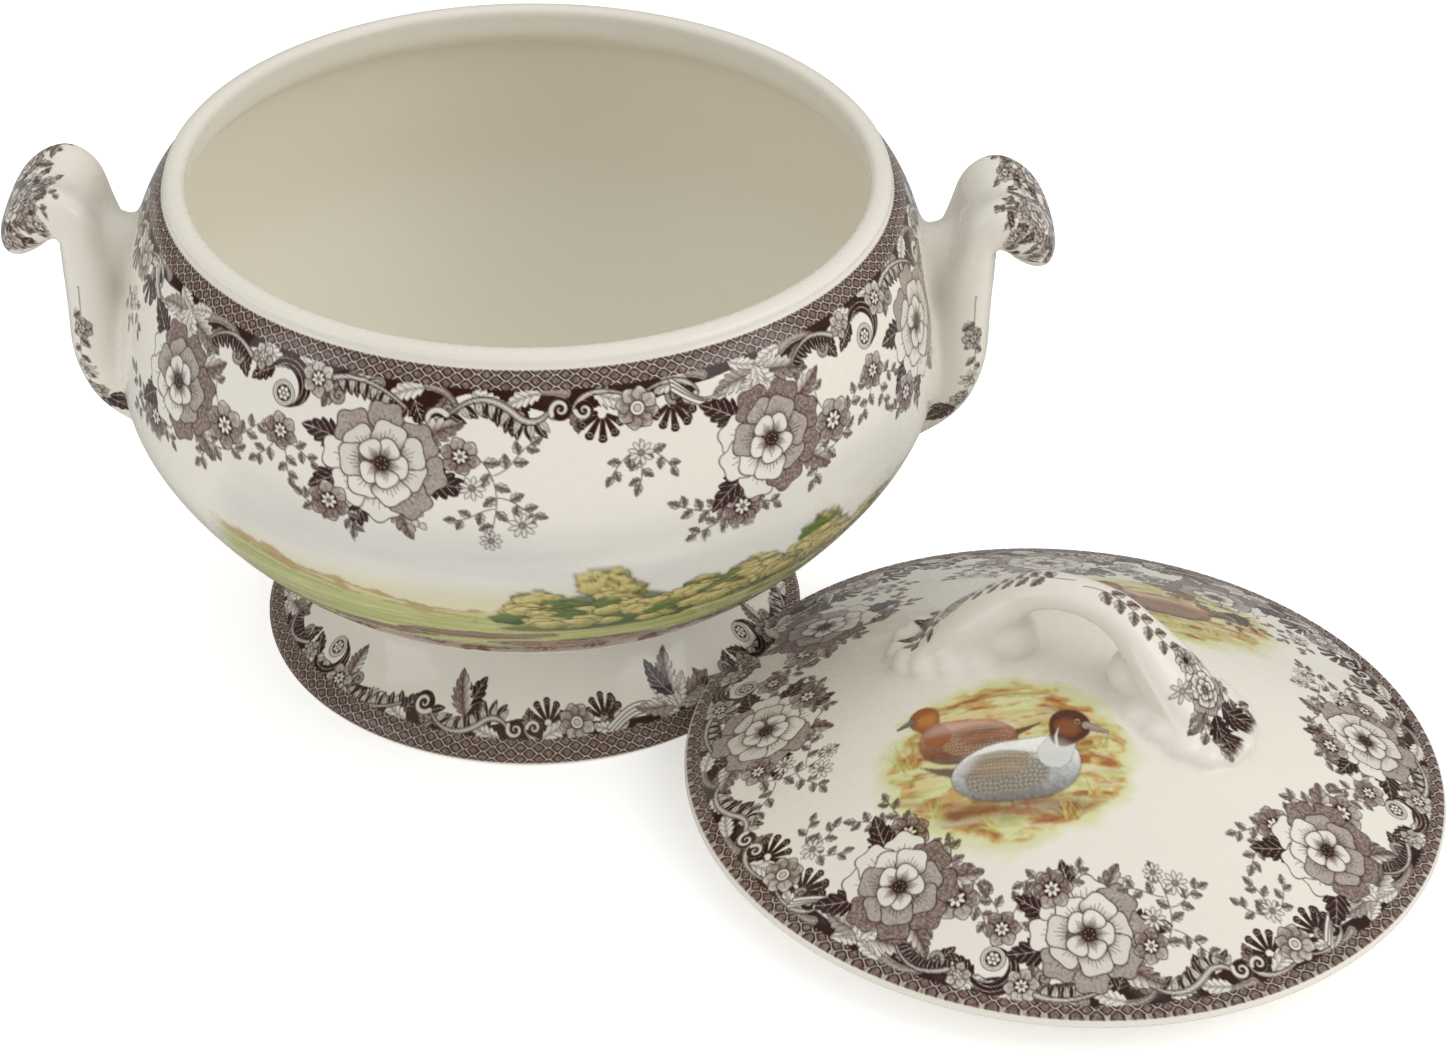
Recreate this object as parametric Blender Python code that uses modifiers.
"""Footed soup tureen with two ear handles and a loose domed lid.

The tureen stands open; its lid lies beside it on the table, resting on its
locating flange.  Units are metres, +Z is up and the table is Z = 0.  The
handles lie nearly along X.  The origin is under the middle of the whole set.
"""
import math

import bmesh
import bpy
from mathutils import Vector

TAU = 2 * math.pi

# ------------------------------------------------------------------ sizes
JOINT_GAP = 0.0003          # joint line between neighbouring pieces
TURN_STEPS = 56             # facets round a turned piece

# bowl
RIM_HEIGHT = 0.1937         # table to top of lip
RIM_RADIUS = 0.1300         # outside of lip
MOUTH_RADIUS = RIM_RADIUS - 0.0075
BELLY_RADIUS = 0.1500       # widest point
BELLY_HEIGHT = 0.1200       # height of widest point
BOWL_WALL = 0.0050
BASE_RADIUS = 0.0760        # where the bowl sits on the pedestal
FLOOR_THICKNESS = 0.0065

# pedestal foot
FOOT_HEIGHT = 0.0420
FOOT_RADIUS = 0.1026
FOOT_WAIST = 0.0742
FOOT_WALL = 0.0055
STANDING_RING_OUTER = FOOT_RADIUS - 0.0018
STANDING_RING_INNER = STANDING_RING_OUTER - 0.0050

# ear handles
EAR_HALF_WIDTH = 0.0250
EAR_HOLLOW = 0.0045         # greatest depth of the dished face
EAR_BEARING = 3.0           # the two ears' line, degrees round from X
EAR_FACETS = 16             # points round a section
EAR_ROUNDNESS = 0.75        # 1 is an ellipse, less is squarer

# lid
LID_RADIUS = RIM_RADIUS + 0.0060
LID_EDGE_TOP = 0.0180
LID_EDGE_BOTTOM = 0.0142
LID_DOME = 0.0628           # outside height over the table
LID_WALL = 0.0045
FLANGE_PLAY = 0.0040        # between the flange and the bowl's mouth
FLANGE_OUTER = MOUTH_RADIUS - FLANGE_PLAY
FLANGE_INNER = FLANGE_OUTER - 0.0048
DOME_CUTTER_REACH = 0.1000  # the dome's cutter keeps the points inside this radius
DOME_CUTTER_BOTTOM = -0.0100

# ladle notch in the lid's edge, and the break in the flange behind it
NOTCH_ANGLE = 152.5         # degrees round the lid
NOTCH_DEPTH = 0.0140
NOTCH_HALF_FLOOR = 0.0080
NOTCH_HALF_MOUTH = 0.0225
NOTCH_CURVE_STEPS = 3       # segments between two points of its plan
NOTCH_CUTTER_BOTTOM = -0.0100
NOTCH_CUTTER_HEIGHT = 0.0600
FLANGE_GAP_HALF = 0.0150    # half width of the break
FLANGE_GAP_BOTTOM = -0.0100
FLANGE_GAP_TOP = LID_EDGE_BOTTOM - 0.0002

# lid loop handle
LOOP_ANGLE = -24.3          # its long direction, degrees round the lid
LOOP_TOP = 0.0975
LOOP_REACH = 0.0610         # half its length
LOOP_SINK = LID_DOME - 0.0200   # underside of the ends, inside the lid
LOOP_FACETS = 14
LOOP_BRIDGE_ROUNDNESS = 1.0     # over the opening
LOOP_END_ROUNDNESS = 0.8        # where the ends sink into the lid

# where the lid lies, seen from the tureen's axis
LID_DISTANCE = 0.2278
LID_BEARING = -28.70        # degrees round from X


# ----------------------------------------------------- scene and materials
def linked_collection(name):
    collection = bpy.data.collections.get(name) or bpy.data.collections.new(name)
    if collection.name not in bpy.context.scene.collection.children:
        bpy.context.scene.collection.children.link(collection)
    return collection


for old_object in list(bpy.data.objects):
    bpy.data.objects.remove(old_object, do_unlink=True)
PARTS = linked_collection("soup_tureen")
CUTTERS = linked_collection("cutters")


def add_object(name, data, collection):
    """New object in the collection; cutters are wires that don't render."""
    new_object = bpy.data.objects.new(name, data)
    collection.objects.link(new_object)
    if collection is CUTTERS:
        new_object.hide_render = True
        new_object.display_type = 'WIRE'
    return new_object


def glaze(mesh, name, colour=(0.86, 0.83, 0.76, 1.0), roughness=0.12):
    """Give the mesh its own glossy cream glaze."""
    material = bpy.data.materials.new(name)
    material.use_nodes = True
    shader = material.node_tree.nodes["Principled BSDF"]
    shader.inputs["Base Color"].default_value = colour
    shader.inputs["Roughness"].default_value = roughness
    shader.inputs["Metallic"].default_value = 0.0
    material.diffuse_color = colour
    mesh.materials.append(material)


def subtract(target, label, cutter):
    cut = target.modifiers.new(label, 'BOOLEAN')
    cut.operation = 'DIFFERENCE'
    cut.solver = 'EXACT'
    cut.object = cutter


# ------------------------------------------------------------------ curves
def vectors(*points):
    return [Vector(point) for point in points]


def spline(points, steps):
    """Catmull-Rom curve through the points, with steps segments between two."""
    extended = [2 * points[0] - points[1]] + points + [2 * points[-1] - points[-2]]
    curve = []
    for before, start, end, after in zip(extended, extended[1:], extended[2:], extended[3:]):
        for k in range(steps):
            t = k / steps
            curve.append(0.5 * (2 * start + (end - before) * t
                                + (2 * before - 5 * start + 4 * end - after) * t * t
                                + (3 * start - before - 3 * end + after) * t ** 3))
    curve.append(points[-1])
    return curve


def offset(curve, distance):
    """Curve moved to its left: outwards for an outline that runs down or out."""
    moved = []
    for i, point in enumerate(curve):
        before = curve[max(i - 1, 0)]
        after = curve[min(i + 1, len(curve) - 1)]
        along = (after - before).normalized()
        moved.append(point + distance * Vector((-along.y, along.x)))
    return moved


def rounded_section(count, roundness):
    """Points (across, through) of a superellipse with half axes of 1."""
    section = []
    for k in range(count):
        angle = TAU * k / count
        across, through = math.cos(angle), math.sin(angle)
        section.append((math.copysign(abs(across) ** roundness, across),
                        math.copysign(abs(through) ** roundness, through)))
    return section


# ------------------------------------------------------------ solid makers
def turned(name, profile, collection, closed=False):
    """Turn a profile of (radius, height) points round Z."""
    points = [(radius, 0.0, height) for radius, height in profile]
    edges = [(i, i + 1) for i in range(len(points) - 1)]
    if closed:
        edges.append((len(points) - 1, 0))
    mesh = bpy.data.meshes.new(name)
    mesh.from_pydata(points, edges, [])
    solid = add_object(name, mesh, collection)
    turn = solid.modifiers.new("turn", 'SCREW')
    turn.axis = 'Z'
    turn.angle = TAU
    turn.steps = TURN_STEPS
    turn.render_steps = TURN_STEPS
    turn.use_merge_vertices = True
    turn.merge_threshold = 0.00001
    turn.use_smooth_shade = True
    return solid


def lofted_mesh(name, sections):
    """Smooth skin over rings of equally many points, closed at both ends."""
    bm = bmesh.new()
    rings = [[bm.verts.new(point) for point in section] for section in sections]
    count = len(rings[0])
    for ring, following in zip(rings, rings[1:]):
        for k in range(count):
            beside = (k + 1) % count
            bm.faces.new((ring[k], ring[beside], following[beside], following[k]))
    bm.faces.new(rings[0][::-1])
    bm.faces.new(rings[-1])
    bmesh.ops.recalc_face_normals(bm, faces=bm.faces)
    mesh = bpy.data.meshes.new(name)
    bm.to_mesh(mesh)
    bm.free()
    mesh.shade_smooth()
    return mesh


# -------------------------------------------------------------------- bowl
def belly_outline():
    """Outside of the bowl (radius, height), from under the lip to the pedestal."""
    return vectors(
        (RIM_RADIUS + 0.0004, RIM_HEIGHT - 0.0047),
        (RIM_RADIUS + 0.0034, RIM_HEIGHT - 0.0072),
        (RIM_RADIUS + 0.0065, RIM_HEIGHT - 0.0118),
        (RIM_RADIUS + 0.0096, RIM_HEIGHT - 0.0183),
        (RIM_RADIUS + 0.0124, RIM_HEIGHT - 0.0265),
        (BELLY_RADIUS - 0.0052, BELLY_HEIGHT + 0.0381),
        (BELLY_RADIUS - 0.0029, BELLY_HEIGHT + 0.0270),
        (BELLY_RADIUS - 0.0012, BELLY_HEIGHT + 0.0155),
        (BELLY_RADIUS - 0.0002, BELLY_HEIGHT + 0.0055),
        (BELLY_RADIUS - 0.0003, BELLY_HEIGHT - 0.0030),
        (BELLY_RADIUS - 0.0013, BELLY_HEIGHT - 0.0098),
        (BELLY_RADIUS - 0.0038, BELLY_HEIGHT - 0.0168),
        (BELLY_RADIUS - 0.0076, BELLY_HEIGHT - 0.0243),
        (BELLY_RADIUS - 0.0128, BELLY_HEIGHT - 0.0325),
        (BELLY_RADIUS - 0.0195, BELLY_HEIGHT - 0.0415),
        (BELLY_RADIUS - 0.0272, BELLY_HEIGHT - 0.0505),
        (BELLY_RADIUS - 0.0360, BELLY_HEIGHT - 0.0593),
        (BELLY_RADIUS - 0.0462, BELLY_HEIGHT - 0.0672),
        (BELLY_RADIUS - 0.0588, FOOT_HEIGHT + 0.0042),
        (BASE_RADIUS + 0.0070, FOOT_HEIGHT + 0.0014),
        (BASE_RADIUS, FOOT_HEIGHT + JOINT_GAP))


def make_bowl():
    outside = belly_outline()
    floor_top = FOOT_HEIGHT + FLOOR_THICKNESS
    floor = vectors((0.0, floor_top), (0.045, floor_top + 0.0002))
    # The lip replaces the first four points of the inside, the floor the last ones.
    inside = [point for point in offset(outside, -BOWL_WALL)[4:]
              if point.y > floor_top + 0.0012]
    lip = vectors(
        (MOUTH_RADIUS + 0.0035, RIM_HEIGHT - 0.0150),
        (MOUTH_RADIUS, RIM_HEIGHT - 0.0090),
        (MOUTH_RADIUS, RIM_HEIGHT - 0.0016),
        (MOUTH_RADIUS + 0.0015, RIM_HEIGHT),
        (RIM_RADIUS - 0.0015, RIM_HEIGHT),
        (RIM_RADIUS, RIM_HEIGHT - 0.0016))
    underside = vectors(
        (BASE_RADIUS - 0.014, FOOT_HEIGHT + JOINT_GAP),
        (BASE_RADIUS - 0.018, FOOT_HEIGHT + 0.0016),
        (0.0, FOOT_HEIGHT + 0.0010))
    bowl = turned("tureen_bowl", floor + inside[::-1] + lip + outside + underside, PARTS)
    glaze(bowl.data, "bowl_glaze")
    return bowl


def make_bowl_cutter():
    """The bowl's outside, grown by the joint line."""
    outside = offset(belly_outline(), JOINT_GAP)
    top = RIM_HEIGHT + 0.02
    profile = (vectors((0.0, top), (RIM_RADIUS - 0.004, top)) + outside
               + vectors((0.0, outside[-1].y)))
    return turned("bowl_shape_cutter", profile, CUTTERS)


# ---------------------------------------------------------------- pedestal
def make_foot():
    outside = vectors(
        (BASE_RADIUS - 0.0006, FOOT_HEIGHT),
        (FOOT_WAIST + 0.0004, FOOT_HEIGHT - 0.0030),
        (FOOT_WAIST, FOOT_HEIGHT - 0.0075),
        (FOOT_WAIST + 0.0016, FOOT_HEIGHT - 0.0130),
        (FOOT_WAIST + 0.0056, FOOT_HEIGHT - 0.0200),
        (FOOT_WAIST + 0.0112, FOOT_HEIGHT - 0.0257),
        (FOOT_WAIST + 0.0172, FOOT_HEIGHT - 0.0305),
        (FOOT_RADIUS - 0.0048, 0.0076),
        (FOOT_RADIUS - 0.0016, 0.0056),
        (FOOT_RADIUS, 0.0034),
        (FOOT_RADIUS - 0.0004, 0.0012),
        (STANDING_RING_OUTER, 0.0))
    inside = vectors(
        (STANDING_RING_INNER, 0.0),
        (STANDING_RING_INNER - 0.0010, 0.0016),
        (FOOT_WAIST + 0.0112, 0.0085),
        (FOOT_WAIST + 0.0030, 0.0140),
        (FOOT_WAIST - 0.0030, 0.0210),
        (FOOT_WAIST - FOOT_WALL - 0.0012, 0.0300),
        (FOOT_WAIST - FOOT_WALL - 0.0010, FOOT_HEIGHT))
    foot = turned("pedestal_foot", outside + inside, PARTS, closed=True)
    glaze(foot.data, "foot_glaze")
    return foot


# ------------------------------------------------------------- ear handles
# Sections of the ear at +X, from its free tip over the top and down into the
# belly: centre x, centre z, direction of the dished face (degrees: 0 faces -X,
# 90 faces up), thickness, half width as a part of EAR_HALF_WIDTH, hollow as a
# part of EAR_HOLLOW.
EAR_SECTIONS = [
    (0.1846, 0.1600, 170, 0.0060, 0.42, 0.0),
    (0.1834, 0.1632, 172, 0.0122, 0.62, 0.0),
    (0.1814, 0.1676, 164, 0.0172, 0.78, 0.0),
    (0.1784, 0.1742, 143, 0.0212, 0.88, 0.25),
    (0.1734, 0.1792, 113, 0.0243, 0.92, 0.7),
    (0.1676, 0.1806, 88, 0.0256, 0.94, 1.0),
    (0.1622, 0.1765, 60, 0.0238, 0.94, 1.0),
    (0.1596, 0.1680, 28, 0.0205, 0.95, 0.8),
    (0.1579, 0.1565, 8, 0.0214, 0.97, 0.3),
    (0.1570, 0.1420, 2, 0.0220, 1.0, 0.0),
    (0.1567, 0.1257, 6, 0.0220, 1.0, 0.0),
    (0.1543, 0.1147, 21, 0.0220, 0.93, 0.0),
    (0.1508, 0.1062, 42, 0.0210, 0.82, 0.0),
    (0.1455, 0.0975, 53, 0.0180, 0.64, 0.0),
    (0.1376, 0.0878, 55, 0.0125, 0.44, 0.0),
    (0.1260, 0.0797, 55, 0.0065, 0.25, 0.0)]


def ear_mesh():
    sections = []
    for x, z, direction, thickness, width_part, hollow_part in EAR_SECTIONS:
        angle = math.radians(180 - direction)
        facing = Vector((math.cos(angle), 0.0, math.sin(angle)))
        half_width = width_part * EAR_HALF_WIDTH
        section = []
        for across, through in rounded_section(EAR_FACETS, EAR_ROUNDNESS):
            height = through * thickness / 2
            if through > 0:
                height -= hollow_part * EAR_HOLLOW * (1 - across * across) ** 2
            point = Vector((x, 0, z)) + facing * height
            section.append((point.x, across * half_width, point.z))
        sections.append(section)
    return lofted_mesh("ear", sections)


def make_handles(bowl_cutter):
    """Two ears sharing one mesh, fitted to the belly at +X and -X."""
    mesh = ear_mesh()
    glaze(mesh, "handle_glaze")
    handles = []
    for name, turn in (("handle_right", 0.0), ("handle_left", math.pi)):
        handle = add_object(name, mesh, PARTS)
        handle.rotation_euler = (0.0, 0.0, turn + math.radians(EAR_BEARING))
        subtract(handle, "fit_to_belly", bowl_cutter)
        handles.append(handle)
    return handles


# --------------------------------------------------------------------- lid
def dome_outline():
    """Outside of the lid (radius, height), from its crown to the edge."""
    return vectors(
        (0.0, LID_DOME),
        (0.0120, LID_DOME - 0.0003),
        (0.0240, LID_DOME - 0.0012),
        (0.0350, LID_DOME - 0.0030),
        (0.0460, LID_DOME - 0.0059),
        (0.0570, LID_DOME - 0.0098),
        (0.0680, LID_DOME - 0.0143),
        (0.0790, LID_DOME - 0.0191),
        (0.0900, LID_DOME - 0.0242),
        (0.1010, LID_DOME - 0.0295),
        (0.1120, LID_DOME - 0.0348),
        (0.1230, LID_DOME - 0.0400),
        (LID_RADIUS - 0.0018, LID_EDGE_TOP),
        (LID_RADIUS, LID_EDGE_TOP - 0.0016))


def make_lid():
    """Domed cover, notched at the edge, with a broken flange under it."""
    outside = dome_outline()
    edge_and_flange = vectors(
        (LID_RADIUS - 0.0010, LID_EDGE_BOTTOM),
        (LID_RADIUS - 0.0060, LID_EDGE_BOTTOM + 0.0004),
        (FLANGE_OUTER + 0.0006, LID_EDGE_BOTTOM + 0.0004),
        (FLANGE_OUTER, LID_EDGE_BOTTOM - 0.0006),
        (FLANGE_OUTER - 0.0004, 0.0008),
        (FLANGE_OUTER - 0.0012, 0.0),
        (FLANGE_INNER + 0.0008, 0.0),
        (FLANGE_INNER, 0.0008),
        (FLANGE_INNER, 0.0150),
        (FLANGE_INNER - 0.0030, 0.0185))
    inside = [point for point in offset(outside, -LID_WALL)
              if 0.001 < point.x < FLANGE_INNER - 0.004]
    crown = vectors((0.0, LID_DOME - LID_WALL))
    lid = turned("lid_cover", outside + edge_and_flange + inside[::-1] + crown, PARTS)
    glaze(lid.data, "lid_glaze")
    return lid


def notch_mesh():
    """Prism with a rounded U plan, opening through the lid's edge at +X."""
    floor = LID_RADIUS - NOTCH_DEPTH
    side = spline(vectors(
        (floor, 0.0),
        (floor, 0.55 * NOTCH_HALF_FLOOR),
        (floor + 0.0010, NOTCH_HALF_FLOOR),
        (floor + 0.0045, NOTCH_HALF_FLOOR + 0.0040),
        (floor + 0.0095, NOTCH_HALF_FLOOR + 0.0070),
        (LID_RADIUS - 0.0016, NOTCH_HALF_MOUTH - 0.0030),
        (LID_RADIUS + 0.0004, NOTCH_HALF_MOUTH),
        (LID_RADIUS + 0.0150, NOTCH_HALF_MOUTH + 0.0040)), NOTCH_CURVE_STEPS)
    plan = [(x, y) for x, y in side] + [(x, -y) for x, y in side[:0:-1]]
    bm = bmesh.new()
    face = bm.faces.new([bm.verts.new((x, y, NOTCH_CUTTER_BOTTOM)) for x, y in plan])
    grown = bmesh.ops.extrude_face_region(bm, geom=[face])
    top = [item for item in grown["geom"] if isinstance(item, bmesh.types.BMVert)]
    bmesh.ops.translate(bm, vec=(0, 0, NOTCH_CUTTER_HEIGHT), verts=top)
    bmesh.ops.recalc_face_normals(bm, faces=bm.faces)
    mesh = bpy.data.meshes.new("ladle_notch_cutter")
    bm.to_mesh(mesh)
    bm.free()
    return mesh


def flange_gap_mesh():
    """Block across the flange at +X, below the lid's edge."""
    inner = FLANGE_INNER - 0.0035
    outer = FLANGE_OUTER + 0.0015
    low, high = FLANGE_GAP_BOTTOM, FLANGE_GAP_TOP
    bm = bmesh.new()
    bmesh.ops.create_cube(bm, size=1.0)
    bmesh.ops.scale(bm, vec=(outer - inner, 2 * FLANGE_GAP_HALF, high - low), verts=bm.verts)
    bmesh.ops.translate(bm, vec=((outer + inner) / 2, 0.0, (high + low) / 2), verts=bm.verts)
    mesh = bpy.data.meshes.new("flange_gap_cutter")
    bm.to_mesh(mesh)
    bm.free()
    return mesh


def cut_ladle_opening(lid, lid_place):
    for label, mesh in (("ladle_notch", notch_mesh()), ("flange_gap", flange_gap_mesh())):
        cutter = add_object(label + "_cutter", mesh, CUTTERS)
        cutter.parent = lid_place
        cutter.rotation_euler = (0, 0, math.radians(NOTCH_ANGLE))
        subtract(lid, label, cutter)


def make_dome_cutter():
    """The lid's outside, grown by the joint line and filled down past the table."""
    outside = offset(dome_outline(), JOINT_GAP)
    outside[0] = Vector((0.0, LID_DOME + JOINT_GAP))
    outside = [point for point in outside if point.x < DOME_CUTTER_REACH]
    bottom = vectors((outside[-1].x, DOME_CUTTER_BOTTOM), (0.0, DOME_CUTTER_BOTTOM))
    return turned("dome_shape_cutter", outside + bottom, CUTTERS)


# --------------------------------------------------------- lid loop handle
# Stations of half the loop, from the lid's axis to the loop's end: distance
# from the axis, top height, underside height, half width.
LOOP_STATIONS = [
    (0.0000, LOOP_TOP, LOOP_TOP - 0.0105, 0.0080),
    (0.0070, LOOP_TOP - 0.0005, LOOP_TOP - 0.0118, 0.0081),
    (0.0130, LOOP_TOP - 0.0018, LOOP_TOP - 0.0155, 0.0084),
    (0.0180, LOOP_TOP - 0.0042, LOOP_TOP - 0.0210, 0.0088),
    (0.0212, LOOP_TOP - 0.0064, LOOP_TOP - 0.0272, 0.0092),
    (0.0228, LOOP_TOP - 0.0076, LOOP_TOP - 0.0330, 0.0096),
    (0.0236, LOOP_TOP - 0.0082, LOOP_SINK, 0.0100),
    (0.0290, LOOP_TOP - 0.0124, LOOP_SINK, 0.0120),
    (0.0360, LOOP_TOP - 0.0185, LOOP_SINK, 0.0142),
    (0.0430, LOOP_TOP - 0.0258, LOOP_SINK, 0.0158),
    (0.0500, LOOP_TOP - 0.0345, LOOP_SINK, 0.0160),
    (0.0555, LOOP_TOP - 0.0412, LOOP_SINK, 0.0140),
    (0.0590, LOOP_TOP - 0.0458, LOOP_SINK, 0.0105),
    (LOOP_REACH, LOOP_TOP - 0.0520, LOOP_SINK, 0.0050)]


def make_loop(dome_cutter):
    mirrored = [(-x, *station) for x, *station in LOOP_STATIONS[:0:-1]]
    sections = []
    for x, top, underside, half_width in mirrored + LOOP_STATIONS:
        sunk = underside == LOOP_SINK
        roundness = LOOP_END_ROUNDNESS if sunk else LOOP_BRIDGE_ROUNDNESS
        middle = (top + underside) / 2
        sections.append([
            (x, across * half_width, middle + through * (top - underside) / 2)
            for across, through in rounded_section(LOOP_FACETS, roundness)])
    loop = add_object("lid_handle", lofted_mesh("lid_handle", sections), PARTS)
    glaze(loop.data, "lid_handle_glaze")
    loop.rotation_euler = (0, 0, math.radians(LOOP_ANGLE))
    subtract(loop, "fit_to_dome", dome_cutter)
    return loop


# ---------------------------------------------------------------- assembly
def plan_middle(objects):
    """Middle of the finished pieces' extent in X and Y."""
    depsgraph = bpy.context.evaluated_depsgraph_get()
    depsgraph.update()
    points = []
    for piece in objects:
        evaluated = piece.evaluated_get(depsgraph)
        points += [piece.matrix_world @ vertex.co for vertex in evaluated.data.vertices]
    xs = [point.x for point in points]
    ys = [point.y for point in points]
    return (min(xs) + max(xs)) / 2, (min(ys) + max(ys)) / 2


bowl = make_bowl()
foot = make_foot()
bowl_cutter = make_bowl_cutter()
handles = make_handles(bowl_cutter)

lid_place = add_object("lid_place", None, PARTS)
bearing = math.radians(LID_BEARING)
lid_place.location = (LID_DISTANCE * math.cos(bearing), LID_DISTANCE * math.sin(bearing), 0.0)
lid = make_lid()
cut_ladle_opening(lid, lid_place)
dome_cutter = make_dome_cutter()
loop = make_loop(dome_cutter)
for piece in (lid, dome_cutter, loop):
    piece.parent = lid_place

# World matrices must be current before the set is measured.
bpy.context.view_layer.update()
middle_x, middle_y = plan_middle([bowl, foot, lid, loop] + handles)
tureen_place = add_object("tureen_place", None, PARTS)
for piece in (bowl, foot, bowl_cutter, lid_place, *handles):
    piece.parent = tureen_place
tureen_place.location = (-middle_x, -middle_y, 0.0)
bpy.context.view_layer.update()
